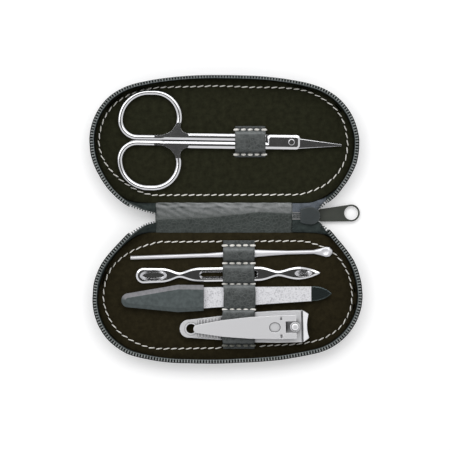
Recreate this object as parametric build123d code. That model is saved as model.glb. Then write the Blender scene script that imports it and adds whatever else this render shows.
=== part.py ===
from build123d import *
import os
from math import atan2, cos, degrees, radians, sin

# Zip-round manicure set case, open flat, with its five tools in their loops.
#
# Millimetres. X runs along the fold, +Y from the fold into the lid, +Z up from the table.
# The origin is on the table, at the middle of the fold line. Each half is drawn on the +Y
# side; the base is the mirror image of the lid, so that the two rims meet when it is shut.

os.makedirs("parts", exist_ok=True)

# Layers of each half, from the table up
cover_thickness = 0.9
board_thickness = 1.0
lining_thickness = 0.5
loop_leather = 0.5  # the strap and loop sewn on the lining
rest_gap = 0.05  # between a tool and what it lies on

# Outline of each half's lining
panel_half_length = 53.2
panel_depth = 51.3
end_radius = 22.3  # round ends, on the side away from the fold
near_radius = 23.5  # corners beside the fold
end_middle = 32.2  # from the fold to the widest place
board_inset = 0.6
cover_margin = 0.8

# Fold
fold_width = 12.8  # leather strip between the two halves
fold_play = 0.15  # from a fold line to the panel beside it
fold_left = -29.3
fold_right = 27.7
facing_crown = 1.1

# Zip
tape_thickness = 0.4
tape_lean = 0.4  # how far the tape wall leans out by its top
coil_height = 1.9
coil_thickness = 1.15
rim_margin = 1.65  # coil's outside, beyond the lining
rim_play = 0.05  # half the gap between the two rims when shut
wall_left = -37.6  # ends of the upright wall beside the fold
wall_right = 40.6
start_left = -36.6  # end of the flat tape left of the fold
end_right = 39.6  # end of the flat tape right of the fold
zip_end_y = 0.8  # closed end of the zip, off the fold's middle
zip_end_z = 3.2
chain_half_width = 1.2
chain_length = 5.4
flat_coil_height = 1.4

# Stitching
stitch_pitch = 3.0
stitch_length = 2.3
stitch_width = 0.7
stitch_height = 0.2
stitch_slant = 10.0
seam_end_inset = 1.5  # from the lining's edge, at the ends
seam_side_inset = 3.1  # from the lining's edge, beside the fold and opposite it
seam_shift = 0.8  # along the fold, to the left in the lid and to the right in the base
seam_end_radius = 20.5
seam_near_radius = 21.0
row_stitch_length = 1.9
row_stitch_width = 0.45
row_stitch_count = 5

# Slider and pull tab
slider_left = 31.0
slider_length = 8.2
slider_wide = 7.3
slider_narrow = 5.6
slider_plate = 0.75
slider_gap = 1.5  # between the plates
slider_slot = 0.9  # for the tape, between the lips
slider_lip = 0.6
neck_half_width = 0.7
pivot_from_right = 2.0
pivot_z = 1.1
tab_thickness = 1.0
tab_bar_radius = 0.4
tab_arm_width = 1.3
tab_start_width = 5.2
tab_ring_radius = 3.55
tab_hole_radius = 2.9
tab_length = 15.2  # from pivot to the centre of the ring
tab_yaw = 4.4
bridge_width = 1.4
bridge_wall = 0.7
bridge_inside = 1.7
bridge_bar = 0.45

# Strap that holds four tools in the base, and the loop in the lid
strap_left = -1.1
strap_width = 13.1
strap_start = 9.5
strap_end = 54.6
strap_rows = (11.6, 19.0, 27.5, 38.15, 53.2)
loop_left = 3.9
loop_width = 12.6
loop_near = 25.2
loop_far = 38.1
loop_rows = (26.3, 36.6)
loop_inside = (27.35, 35.5)
loop_play = 0.3  # over a tool
bend_radius = 0.35

# Scissors, drawn along X from the screw
scissors_x = 27.3
scissors_y = 31.3
scissors_tilt = -0.9
lap_thickness = 1.38
lap_gap = 0.04
lap_half_width = 2.95
lap_back = 10.3
lap_front = 3.7
shank_width = 2.75
shank_gap = 0.6
handle_thickness = 2.2
ring_wire = 1.9
ring_crown = 0.4
ring_arcs = (  # centre, radius, first and last angle of the ring's wire
    ((-64.2, -8.2), 7.05, 90, 180),
    ((-59.6, -8.2), 11.65, 180, 270),
    ((-57.2, -9.35), 10.5, 270, 360),
    ((-54.9, -9.35), 8.2, 0, 90),
)
web_left = -57.0  # flat web between the shank and its ring
web_low = -7.4
web_throat = ((-42.4, 1.0), (-45.0, 0.85), (-46.0, 0.0))  # x, share of the way from web_low
shoulder_width = 0.95  # bright slopes along the shanks and the overlap
shoulder_drop = 0.4
blade_reach = 20.9
blade_root_width = 4.4
blade_tip_width = 0.7
blade_tip_y = -0.9
blade_tip_thickness = 0.4
screw_radius = 0.9
screw_head_radius = 1.33
screw_head_height = 0.5
running_play = 0.05

# Ear pick: (x, y, width, height) along it
ear_pick_sections = (
    (-39.6, -16.7, 1.65, 1.65),
    (-8.0, -15.65, 1.7, 1.65),
    (5.0, -15.1, 2.7, 1.4),
    (11.8, -14.9, 3.1, 1.3),
    (18.0, -14.7, 2.4, 1.4),
    (26.0, -14.5, 1.7, 1.5),
    (36.6, -14.25, 1.65, 1.4),
    (39.6, -14.2, 3.0, 1.2),
    (41.6, -14.2, 4.2, 1.2),
    (43.2, -14.2, 3.9, 1.1),
    (44.3, -14.2, 1.6, 0.7),
)
spoon_x = 41.4
spoon_dish_radius = 2.6
spoon_dish_depth = 0.55

# Cuticle tool, drawn along X from the middle of its grip
cuticle_x = 1.2
cuticle_y = -23.55
cuticle_tilt = 0.9
cuticle_thickness = 1.9
cuticle_rim = 0.75  # bright slopes along both sides
cuticle_rim_drop = 0.35
cuticle_left = 38.5
cuticle_right = 38.0
cuticle_cup_width = 6.3
cuticle_grip_width = 5.8
cuticle_grip_half = 11.9
cuticle_waist_width = 2.1
cuticle_waist_length = 8.7  # from the grip to the waist, and on to the head
cuticle_neck_length = 7.5  # from the waist to the cup
cuticle_head_width = 5.2
cuticle_point = 0.3  # width of the head's tip
cuticle_slot_width = 3.2
cuticle_slot_half = 12.2
cuticle_slot_rim = 0.75
cuticle_slot_drop = 0.8
cuticle_cup_hollow = (-31.3, 5.6, 2.3)  # middle and half sizes of the cup's hollow
cuticle_head_hollow = (31.1, 3.6, 1.45)
cuticle_hollow_depth = 1.1
cuticle_hollow_rim = 1.1

# File
file_handle_tip = ((-40.4, -31.4), (-43.3, -34.3), (-40.4, -37.2))
file_handle_waist = ((-19.6, -39.2), (-19.8, -27.9))
file_handle_end = -9.2
file_handle_near = -28.0  # the handle's sides at its end
file_handle_far = -38.6
file_handle_thickness = 4.2
file_bevel = 1.8
file_bevel_drop = 1.1
file_blade_thickness = 0.9
file_grit_thickness = 0.1
file_tang = 20.0
file_tang_near = -31.4
file_tang_far = -35.1
file_grit_end = 35.6
file_near = ((-9.2, -28.9), (37.2, -28.55))  # the blade's long sides
file_far = ((-9.2, -37.6), (37.2, -34.5))
file_point = ((41.1, -29.45), (44.0, -31.3), (44.0, -31.6), (41.1, -33.5))

# Clipper, drawn along X from its pin
clipper_x = 28.6
clipper_y = -45.05
clipper_tilt = 1.4
arm_thickness = 1.2
clipper_tail = 44.0
clipper_tail_radius = 3.7
clipper_half_width = 6.55
clipper_front = 3.4
clipper_lip = 5.9
clipper_lip_half_width = 5.0
clipper_sides = ((-17.4, 6.2), (-8.0, clipper_half_width))  # x, half width
clipper_flat_tail = 9.6
arm_slope = 0.06
jaw_edge_low = 4.4
jaw_edge_high = 6.0
jaw_fold_depth = 0.65  # groove where the upper arm is folded down to its edge
jaw_fold_rise = 0.2
jaw_hollow_radius = 15.6
jaw_hollow_depth = 0.8
eyelet_x = -43.0
eyelet_bore = 2.0
eyelet_wall = 0.4
eyelet_flange = 2.6
eyelet_flange_height = 0.2
ridge_pitch = 1.3
ridge_count = 8
ridge_start = -39.9
ridge_width = 0.6
ridge_height = 0.25
lever_rise = 2.2  # from the upper arm to the lever
lever_thickness = 1.1
lever_tail = 40.3
lever_tail_radius = 1.7
lever_front = 0.6
lever_half_width = 4.9
lever_sides = ((-30.0, 3.4), (-18.5, 4.45), (-8.0, 4.8))
lever_nicks = (-5.65, 3.7)  # two small slots beside the notch
lever_dimple = (-8.3, 2.4, 2.1)
lever_notch_half = 2.35
lever_notch_depth = 4.4
cam_length = 1.5
pin_radius = 1.5
pin_head = 1.5  # how far the pin stands above the lever
pin_collar_radius = 2.1
pin_collar_height = 0.8

# Levels that follow from the layers
board_bottom = cover_thickness
lining_bottom = cover_thickness + board_thickness
lining_top = lining_bottom + lining_thickness
fold_half = fold_width / 2
panel_near = fold_half + fold_play
panel_far = panel_near + panel_depth
rim_height = lining_top + fold_half
tool_floor = lining_top + rest_gap


def write(node, shapes):
    """Writes one node's solids to its own file."""
    solids = [solid for shape in shapes for solid in shape.solids()]
    export_step(solids[0] if len(solids) == 1 else Compound(children=solids), f"parts/{node}.step")


def to_base(shapes):
    """The base's copy of what was drawn for the lid."""
    return [mirror(shape, about=Plane.XZ) for shape in shapes]


def arc(centre, radius, start, end):
    """A circular edge between two angles, in degrees."""
    points = [
        (centre[0] + radius * cos(radians(a)), centre[1] + radius * sin(radians(a)))
        for a in (start, (start + end) / 2, end)
    ]
    return ThreePointArc(*points)


def half_outline(half_length, near, far, radius, low_radius):
    """One half seen from above: bowed far side, round ends, straight fold side."""
    end_x, low_x = half_length - radius, half_length - low_radius
    low_y = near + low_radius
    reach = far - end_middle
    bow = (end_x**2 + reach**2 - radius**2) / (2 * (reach - radius))
    lean = degrees(atan2(bow - reach, end_x))
    return Wire([
        arc((0, far - bow), bow, lean, 180 - lean),
        arc((-end_x, end_middle), radius, 180 - lean, 180),
        Line((-half_length, end_middle), (-half_length, low_y)),
        arc((-low_x, low_y), low_radius, 180, 270),
        Line((-low_x, near), (low_x, near)),
        arc((low_x, low_y), low_radius, -90, 0),
        Line((half_length, low_y), (half_length, end_middle)),
        arc((end_x, end_middle), radius, 0, lean),
    ])


def panel(grow):
    """The lining's outline as a face, larger all round by grow."""
    return Face(half_outline(
        panel_half_length + grow, panel_near - grow, panel_far + grow,
        end_radius + grow, near_radius + grow,
    ))


def block(x, y, z):
    """A box between the two values of each pair."""
    size = [high - low for low, high in (x, y, z)]
    middle = [(high + low) / 2 for low, high in (x, y, z)]
    return Pos(*middle) * Box(*size)


def slab(plan, low, high):
    """A plan seen from above, raised between two heights."""
    return extrude(Pos(0, 0, low) * plan, high - low, dir=(0, 0, 1))


def polygon(points):
    """A flat face with straight sides."""
    return make_face(Polyline(*points, close=True))


def hollow_wall(low, high, bottom, top, thickness):
    """An upright wall round a half, between two heights, whose inside is at the margins given."""
    def shell(extra):
        return loft([Pos(0, 0, low) * panel(bottom + extra), Pos(0, 0, high) * panel(top + extra)],
                    ruled=True)
    beside_fold = block((wall_left, wall_right), (-near_radius, panel_near + near_radius / 2),
                        (low - 1, high + 1))
    return shell(thickness) - shell(0) - beside_fold


# Cover, board and lining of each half
away_from_fold = block((-2 * panel_half_length, 2 * panel_half_length),
                       (panel_near - fold_play / 2, 2 * panel_far), (-1, rim_height))
cover = slab(panel(cover_margin), 0, board_bottom) & away_from_fold
board = slab(panel(-board_inset), board_bottom, lining_bottom)
lining = slab(panel(0), lining_bottom, lining_top)
for node, shape in (("cover", cover), ("board", board), ("lining", lining)):
    write(f"lid_{node}", [shape])
    write(f"base_{node}", to_base([shape]))

# Zip tape and coil round each half
coil_top = rim_height - rim_play
coil_bottom = coil_top - coil_height
tape = hollow_wall(board_bottom, coil_bottom, rest_gap, rest_gap + tape_lean, tape_thickness)
coil = hollow_wall(coil_bottom, coil_top, rim_margin - coil_thickness,
                   rim_margin - coil_thickness, coil_thickness)
for node, shape in (("zip_tape", tape), ("zip_coil", coil)):
    write(f"lid_{node}", [shape])
    write(f"base_{node}", to_base([shape]))


# Stitching round each half
def stitch(place, turn, length, width, floor):
    """One stitch lying on a floor, along the direction turn."""
    lift = floor + stitch_height / 2
    return Pos(place[0], place[1], lift) * Rot(0, 0, turn) * Box(length, width, stitch_height)


def seam_stitches(slant):
    """Even stitches along the seam, each turned a little out of its line."""
    seam = half_outline(
        panel_half_length - seam_end_inset, panel_near + seam_side_inset,
        panel_far - seam_side_inset, seam_end_radius, seam_near_radius,
    )
    count = round(seam.length / stitch_pitch)
    stitches = []
    for number in range(count):
        place, along = seam @ (number / count), seam % (number / count)
        turn = degrees(atan2(along.Y, along.X)) + slant
        stitches.append(stitch((place.X, place.Y), turn, stitch_length, stitch_width, lining_top))
    return stitches


strap_middle = strap_left + strap_width / 2
beside_strap = strap_width / 2 + stitch_length
bare = [one for one in seam_stitches(-stitch_slant)
        if abs(one.center().X + seam_shift - strap_middle) > beside_strap]
write("lid_stitching", [Pos(-seam_shift, 0, 0) * one for one in seam_stitches(stitch_slant)])
write("base_stitching", to_base([Pos(seam_shift, 0, 0) * one for one in bare]))

# Fold: outside leather, and the crowned strip inside
spine_edge = fold_half - fold_play / 2
write("spine_cover", [block((fold_left, fold_right), (-spine_edge, spine_edge),
                            (0, cover_thickness))])
facing_edge = lining_top - rest_gap
facing_side = Plane.YZ * make_face([
    Line((-spine_edge, facing_edge), (-spine_edge, cover_thickness)),
    Line((-spine_edge, cover_thickness), (spine_edge, cover_thickness)),
    Line((spine_edge, cover_thickness), (spine_edge, facing_edge)),
    ThreePointArc((spine_edge, facing_edge), (0, facing_edge + facing_crown),
                  (-spine_edge, facing_edge)),
])
write("spine_facing", [Pos(fold_left, 0, 0) * extrude(facing_side, fold_right - fold_left)])

# Start of the zip: two flat tapes left of the fold, with the first turns of coil
start_edge = ((start_left, 4.2), (fold_left - 3.4, 2.4), (fold_left, 1.5))
start_z = lining_top + tape_thickness


def coil_strip(edge, low, high, reach):
    """A band of coil along an edge, on its -Y side."""
    return slab(polygon([*edge, *[(x, y - reach) for x, y in reversed(edge)]]), low, high)


start_tape = slab(polygon([*start_edge, (fold_left, spine_edge), (start_left, spine_edge)]),
                  lining_top, start_z)
start_coil = coil_strip(start_edge, lining_top, lining_top + flat_coil_height, coil_thickness)
write("zip_start_tape", [start_tape, *to_base([start_tape])])
write("zip_start_coil", [start_coil, *to_base([start_coil])])

# End of the zip: flat tapes right of the fold and the closed chain that enters the slider
end_low, end_high = zip_end_z - tape_thickness / 2, zip_end_z + tape_thickness / 2
chain_low, chain_high = zip_end_z - flat_coil_height / 2, zip_end_z + flat_coil_height / 2
end_inner = chain_half_width + rest_gap
far_tape = block((fold_right, end_right), (zip_end_y + end_inner, spine_edge), (end_low, end_high))
near_tape = block((fold_right, end_right), (-spine_edge, zip_end_y - end_inner), (end_low, end_high))
write("zip_end_tape", [far_tape, near_tape])
chain_end = fold_right + chain_length
far_chain = block((fold_right, chain_end), (zip_end_y + lap_gap / 2, zip_end_y + chain_half_width),
                  (chain_low, chain_high))
near_chain = block((fold_right, chain_end), (zip_end_y - chain_half_width, zip_end_y - lap_gap / 2),
                   (chain_low, chain_high))
write("zip_end_coil", [far_chain, near_chain])


# Slider
def slider_plan():
    """A slider plate from above: narrow at its left, round at its right, with bowed sides."""
    radius = slider_wide / 2
    centre_x = slider_left + slider_length - radius
    side = slider_narrow / 2
    return Pos(0, zip_end_y, 0) * make_face([
        Line((slider_left, -side), (slider_left, side)),
        TangentArc((centre_x, radius), (slider_left, side), tangent=(-1, 0)),
        arc((centre_x, 0), radius, 90, -90),
        TangentArc((centre_x, -radius), (slider_left, -side), tangent=(-1, 0)),
    ])


slider_right = slider_left + slider_length
pivot_x = slider_right - pivot_from_right
inside_low, inside_high = zip_end_z - slider_gap / 2, zip_end_z + slider_gap / 2
upper_plate = slab(slider_plan(), inside_high, inside_high + slider_plate)
upper_plate = fillet(upper_plate.edges().group_by(Axis.Z)[-1], slider_plate / 2)
lower_plate = slab(slider_plan(), inside_low - slider_plate, inside_low)
neck = Pos(slider_right - 1.9, zip_end_y, zip_end_z) * Cylinder(neck_half_width, slider_gap)
lip_height = (slider_gap - slider_slot) / 2
lip_x = (slider_left + 0.3, slider_right - slider_wide / 2)
lips = []
for side in (-1, 1):
    across = sorted((zip_end_y + side * (slider_narrow / 2 - slider_lip),
                     zip_end_y + side * slider_narrow / 2))
    lips.append(block(lip_x, across, (inside_low, inside_low + lip_height)))
    lips.append(block(lip_x, across, (inside_high - lip_height, inside_high)))
plate_bottom = inside_low - slider_plate
bridge_bottom = pivot_z - tab_bar_radius - 2 * rest_gap - bridge_bar
bridge_x = (pivot_x - bridge_inside / 2 - bridge_wall, pivot_x + bridge_inside / 2 + bridge_wall)
bridge_y = (zip_end_y - bridge_width / 2, zip_end_y + bridge_width / 2)
bridge = block(bridge_x, bridge_y, (bridge_bottom, plate_bottom)) - block(
    (pivot_x - bridge_inside / 2, pivot_x + bridge_inside / 2), bridge_y,
    (bridge_bottom + bridge_bar, plate_bottom))
slider = upper_plate + lower_plate + neck + bridge
for lip in lips:
    slider += lip
write("slider_body", [slider])

# Pull tab: a bar in the bridge, two arms, a flared plate and a ring
window_half = bridge_width / 2 + 0.3
arm_outer = window_half + tab_arm_width
plate_start = bridge_inside / 2 + bridge_wall + 0.55
hole = Pos(tab_length, 0) * Circle(tab_hole_radius)
plate = polygon((
    (plate_start, tab_start_width / 2), (tab_length, tab_ring_radius),
    (tab_length, -tab_ring_radius), (plate_start, -tab_start_width / 2),
))
flat = plate + Pos(tab_length, 0) * Circle(tab_ring_radius) - hole
low = -tab_thickness / 2
tab = slab(flat, low, low + tab_thickness)
for side in (-1, 1):
    across = sorted((side * window_half, side * arm_outer))
    middle = sum(across) / 2
    tab += block((0, plate_start + 0.2), across, (low, low + tab_thickness))
    tab += Pos(0, middle, 0) * Rot(90, 0, 0) * Cylinder(tab_thickness / 2, tab_arm_width)
tab += Rot(90, 0, 0) * Cylinder(tab_bar_radius, 2 * window_half + 0.4)
tab_turn = Pos(pivot_x, zip_end_y, pivot_z) * Rot(0, 0, tab_yaw)
write("pull_tab", [tab_turn * tab])


# Leather loops: one swept strip each, sewn down between the tools
def leather_strip(left, width, points):
    """A strip across X, whose underside runs through points of (distance from the fold, height)."""
    half = loop_leather / 2
    path = FilletPolyline(*[(0, y, z + half) for y, z in points], radius=bend_radius)
    section = Plane(path @ 0, x_dir=(1, 0, 0), z_dir=path % 0) * Rectangle(width, loop_leather)
    return Pos(left + width / 2, 0, 0) * sweep(section, path=path)


def row_stitches(left, width, row):
    """One row of stitches across a strip, the end ones just over its edges."""
    span = width - row_stitch_length + 0.8
    step = span / (row_stitch_count - 1)
    start = left + width / 2 - span / 2
    floor = lining_top + loop_leather
    return [stitch((start + number * step, row), 0, row_stitch_length, row_stitch_width, floor)
            for number in range(row_stitch_count)]


def hump(near, far, height):
    """The strip's way over a tool between two distances from the fold."""
    return [(near, lining_top), (near, height), (far, height), (far, lining_top)]


def arm_top(x):
    """Height of the clipper's upper arm, x from its pin."""
    return (tool_floor + 2 * arm_thickness + arm_slope
            * (x + clipper_tail + clipper_tail_radius - clipper_flat_tail))


file_middle = tool_floor + file_handle_thickness / 2
file_top = file_middle + file_blade_thickness / 2 + file_grit_thickness
strap_right = strap_left + strap_width
humps = (
    (12.8, 17.6, tool_floor + 1.65 + loop_play),
    (20.1, 26.85, tool_floor + cuticle_thickness + loop_play),
    (28.35, 37.6, file_top + loop_play),
    (38.7, 52.0, arm_top(strap_right - clipper_x) + loop_play),
)
over = [point for bay in humps for point in hump(*bay)]
strap = leather_strip(strap_left, strap_width,
                      [(strap_start, lining_top), *over, (strap_end, lining_top)])
write("tool_strap", to_base([strap]))
strap_stitches = [s for row in strap_rows for s in row_stitches(strap_left, strap_width, row)]
write("tool_strap_stitching", to_base(strap_stitches))

scissors_top = tool_floor + 2 * lap_thickness + lap_gap
loop = leather_strip(loop_left, loop_width, [
    (loop_near, lining_top), *hump(*loop_inside, scissors_top + loop_play),
    (loop_far, lining_top),
])
write("scissors_loop", [loop])
write("scissors_loop_stitching",
      [s for row in loop_rows for s in row_stitches(loop_left, loop_width, row)])

# Scissors: the half with the lower ring lies on top at the screw
scissors_middle = tool_floor + lap_thickness + lap_gap / 2


def ring_path(offset):
    """The ring's wire as a closed line, or a line inside or outside it."""
    arcs = [arc(centre, radius + offset, start, end) for centre, radius, start, end in ring_arcs]
    lines = []
    for number, edge in enumerate(arcs):
        start, end = edge @ 1, arcs[(number + 1) % len(arcs)] @ 0
        lines.append(edge)
        if (end - start).length > 0.01:
            lines.append(Line(start, end))
    return Wire(lines)


def scissors_handle():
    """Ring, web and shank of one half, about height 0."""
    path = ring_path(0)
    edge, top = handle_thickness / 2 - ring_crown, handle_thickness / 2
    side = ring_wire / 2
    section = Plane(path @ 0, x_dir=(0, 0, 1), z_dir=path % 0) * make_face([
        Line((-edge, -side), (edge, -side)),
        ThreePointArc((edge, -side), (top, 0), (edge, side)),
        Line((edge, side), (-edge, side)),
        ThreePointArc((-edge, side), (-top, 0), (-edge, -side)),
    ])
    ring = sweep(section, path=path)
    inner, outer = -shank_gap / 2, -shank_gap / 2 - shank_width
    throat = [(x, web_low + share * (outer - web_low)) for x, share in web_throat]
    front = -lap_back - 0.4
    web = make_face([
        Polyline(throat[-1], (web_left, web_low), (web_left, inner), (front, inner),
                 (front, outer), throat[0]),
        ThreePointArc(*throat),
    ]) - make_face(ring_path(-ring_wire / 2))
    bar = slab(web, -handle_thickness / 2, handle_thickness / 2)
    for level in (0, -1):
        face = bar.faces().sort_by(Axis.Z)[level]
        rails = face.edges().filter_by(Axis.X).sort_by(SortBy.LENGTH)[-2:]
        bar = chamfer(rails, shoulder_width, shoulder_drop, reference=face)
    return ring + bar


def scissors_lap():
    """Flat overlap at the screw, on top of height 0."""
    inner, outer = -shank_gap / 2, -lap_half_width
    corner = 1.8
    plan = make_face([
        Line((-lap_back - 1.4, outer), (lap_front - corner, outer)),
        arc((lap_front - corner, outer + corner), corner, -90, 0),
        Line((lap_front, outer + corner), (lap_front, lap_half_width - corner)),
        arc((lap_front - corner, lap_half_width - corner), corner, 0, 90),
        Line((lap_front - corner, lap_half_width), (-lap_back + corner, lap_half_width)),
        arc((-lap_back + corner, lap_half_width - corner), corner, 90, 180),
        Line((-lap_back, lap_half_width - corner), (-lap_back, inner)),
        Line((-lap_back, inner), (-lap_back - 1.4, inner)),
        Line((-lap_back - 1.4, inner), (-lap_back - 1.4, outer)),
    ])
    lap = slab(plan, lap_gap / 2, lap_gap / 2 + lap_thickness)
    face = lap.faces().sort_by(Axis.Z)[-1]
    return chamfer(face.edges(), shoulder_width, shoulder_drop, reference=face)


def scissors_blade():
    """Blade in front of the overlap, thinner and narrower towards its tip."""
    def section(x, middle, width, thickness):
        return Pos(x, middle, lap_gap / 2 + thickness / 2) * Rot(0, 90, 0) * RectangleRounded(
            thickness, width, thickness * 0.3)
    root = section(lap_front - 1.0, -0.5, blade_root_width, lap_thickness * 0.8)
    tip = section(blade_reach, blade_tip_y, blade_tip_width, blade_tip_thickness)
    return loft([root, tip], ruled=True)


def scissors_half(blade):
    """One half, with its hole, ready to be placed."""
    return scissors_handle() + scissors_lap() + blade


over_half = scissors_half(scissors_blade())
turned_blade = mirror(Rot(180, 0, 0) * scissors_blade(), about=Plane.XZ)
under_half = Rot(180, 0, 0) * (scissors_handle() + scissors_lap()) + turned_blade
bore = Cylinder(screw_radius + running_play, 4 * handle_thickness)
over_half -= bore
under_half -= Cylinder(screw_radius, 4 * handle_thickness)
screw_top = lap_gap / 2 + lap_thickness
screw_length = 2 * lap_thickness + lap_gap
screw = Cylinder(screw_radius, screw_length) + Pos(
    0, 0, screw_top + screw_head_height / 2) * Cylinder(screw_head_radius, screw_head_height)
screw = fillet(screw.edges().group_by(Axis.Z)[-1], screw_head_height * 0.6)
scissors_place = Pos(scissors_x, scissors_y, scissors_middle) * Rot(0, 0, scissors_tilt)
write("scissors_over_half", [scissors_place * over_half])
write("scissors_under_half", [scissors_place * under_half])
write("scissors_screw", [scissors_place * screw])

# Ear pick: a rod flattened under the strap, with a small spoon
thickest = max(height for _, _, _, height in ear_pick_sections)
ear_pick_z = tool_floor + thickest / 2
ear_pick = loft([Pos(x, y, ear_pick_z) * Rot(0, 90, 0) * Ellipse(height / 2, width / 2)
                 for x, y, width, height in ear_pick_sections], ruled=True)
spoon_y = ear_pick_sections[-1][1]
spoon_top = ear_pick_z + 0.6
ear_pick -= Pos(spoon_x, spoon_y, spoon_top + spoon_dish_radius - spoon_dish_depth) * Sphere(
    spoon_dish_radius)
write("ear_pick", [ear_pick])


# Cuticle tool: a cupped end, a slotted grip between two waists and a pointed head
def cuticle_side(side, inset):
    """One long edge of the cuticle tool, moved in from its outline."""
    grip, waist = cuticle_grip_width / 2, cuticle_waist_width / 2
    cup, head = cuticle_cup_width / 2, cuticle_head_width / 2
    waist_x = cuticle_grip_half + cuticle_waist_length
    points = ((-cuticle_left + cup, cup), (-waist_x - cuticle_neck_length, cup * 0.93),
              (-waist_x, waist), (-cuticle_grip_half, grip), (cuticle_grip_half, grip),
              (waist_x, waist), (waist_x + cuticle_waist_length, head))
    (x0, y0), (x1, y1), (x2, y2), (x3, y3), (x4, y4), (x5, y5), (x6, y6) = [
        (x, side * (y - inset)) for x, y in points]
    x7, y7 = cuticle_right - 2.5 * inset, side * cuticle_point / 2
    return [
        Line((x0, y0), (x1, y1)),
        Spline((x1, y1), (x2, y2), (x3, y3), tangents=((1, 0), (1, 0))),
        Line((x3, y3), (x4, y4)),
        Spline((x4, y4), (x5, y5), (x6, y6), tangents=((1, 0), (1, 0))),
        ThreePointArc((x6, y6), ((x6 + x7) / 2, (y6 + y7) / 2 + side * 0.5), (x7, y7)),
    ]


def cuticle_plan(inset):
    """The cuticle tool from above, moved in from its outline."""
    radius = cuticle_cup_width / 2
    tip_x = cuticle_right - 2.5 * inset
    return make_face([
        *cuticle_side(1, inset), *cuticle_side(-1, inset),
        ThreePointArc((-cuticle_left + radius, radius - inset), (-cuticle_left + inset, 0),
                      (-cuticle_left + radius, inset - radius)),
        Line((tip_x, cuticle_point / 2), (tip_x, -cuticle_point / 2)),
    ])


def sunk(plan, rim, depth, top):
    """A dish whose sides slope in by a rim, from a plan that takes how far it is moved in."""
    return loft([Pos(0, 0, top - depth) * plan(rim), Pos(0, 0, top) * plan(0)], ruled=True)


cuticle_shoulder = cuticle_thickness - cuticle_rim_drop
cuticle = slab(cuticle_plan(0), 0, cuticle_shoulder)
cuticle += loft([Pos(0, 0, cuticle_shoulder) * cuticle_plan(0),
                 Pos(0, 0, cuticle_thickness) * cuticle_plan(cuticle_rim)], ruled=True)
slot_end, slot_side = 2 * cuticle_slot_half, cuticle_slot_width
cuticle -= slab(SlotOverall(slot_end - 2 * cuticle_slot_rim, slot_side - 2 * cuticle_slot_rim),
                0, cuticle_thickness)
cuticle -= sunk(lambda rim: SlotOverall(slot_end - 2 * rim, slot_side - 2 * rim),
                cuticle_slot_rim, cuticle_slot_drop, cuticle_thickness)
for middle, along, across in (cuticle_cup_hollow, cuticle_head_hollow):
    cuticle -= sunk(lambda rim: Pos(middle, 0) * Ellipse(along - rim, across - rim),
                    cuticle_hollow_rim, cuticle_hollow_depth, cuticle_thickness)
cuticle_place = Pos(cuticle_x, cuticle_y, tool_floor) * Rot(0, 0, cuticle_tilt)
write("cuticle_tool", [cuticle_place * cuticle])

# File: bevelled plastic handle, steel blade and a layer of grit on each face
tang_start = file_handle_end - file_tang
near_bulge, near_tip, far_tip, far_bulge = file_point
blade_plan = make_face([
    ThreePointArc(file_near[1], near_bulge, near_tip),
    Line(near_tip, far_tip),
    ThreePointArc(far_tip, far_bulge, file_far[1]),
    Polyline(file_far[1], file_far[0], (file_handle_end, file_tang_far),
             (tang_start, file_tang_far), (tang_start, file_tang_near),
             (file_handle_end, file_tang_near), file_near[0], file_near[1]),
])
blade_low = file_middle - file_blade_thickness / 2
blade_high = blade_low + file_blade_thickness
file_blade = slab(blade_plan, blade_low, blade_high)
handle_plan = make_face([
    ThreePointArc(*file_handle_tip),
    Polyline(file_handle_tip[-1], file_handle_waist[0], (file_handle_end, file_handle_far),
             (file_handle_end, file_handle_near), file_handle_waist[1], file_handle_tip[0]),
])
handle = slab(handle_plan, tool_floor, tool_floor + file_handle_thickness)
for level in (0, -1):
    face = handle.faces().sort_by(Axis.Z)[level]
    long_edges = [edge for edge in face.edges() if abs((edge % 0.5).X) > 0.5 or edge.length < 8]
    handle = chamfer(long_edges, file_bevel, file_bevel_drop, reference=face)
handle -= file_blade
write("file_handle", [handle])
write("file_blade", [file_blade])
grit_plan = blade_plan & Pos((file_handle_end + file_grit_end) / 2, -33) * Rectangle(
    file_grit_end - file_handle_end - 0.2, 20)
grit_top = slab(grit_plan, blade_high, blade_high + file_grit_thickness)
grit_bottom = slab(grit_plan, blade_low - file_grit_thickness, blade_low)
write("file_grit", [grit_top, grit_bottom])

# Clipper: two arms joined at the tail by an eyelet
arm_edge = ((-clipper_tail, clipper_tail_radius), *clipper_sides,
            (clipper_front, clipper_half_width), (clipper_lip, clipper_lip_half_width))
clipper_plan = polygon([*arm_edge, *[(x, -y) for x, y in reversed(arm_edge)]])
clipper_plan += Pos(-clipper_tail, 0) * Circle(clipper_tail_radius)
clipper_back = -clipper_tail - clipper_tail_radius
hollow_x = clipper_lip - jaw_hollow_depth + jaw_hollow_radius
hollow = Pos(hollow_x, 0, tool_floor) * Cylinder(jaw_hollow_radius, 8 * arm_thickness)
bend_x = clipper_front - 1.0


def clipper_arm(side, eyelet_hole, pin_hole):
    """An arm cut to the plan from its side view, drilled for the eyelet and the pin."""
    arm = extrude(Plane.XZ * polygon(side), 2 * clipper_half_width, both=True)
    arm &= slab(clipper_plan, 0, 4 * rim_height)
    arm -= hollow
    arm -= Pos(eyelet_x, 0, 0) * Cylinder(eyelet_hole, 4 * rim_height)
    return arm - Cylinder(pin_hole, 4 * rim_height)


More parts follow.
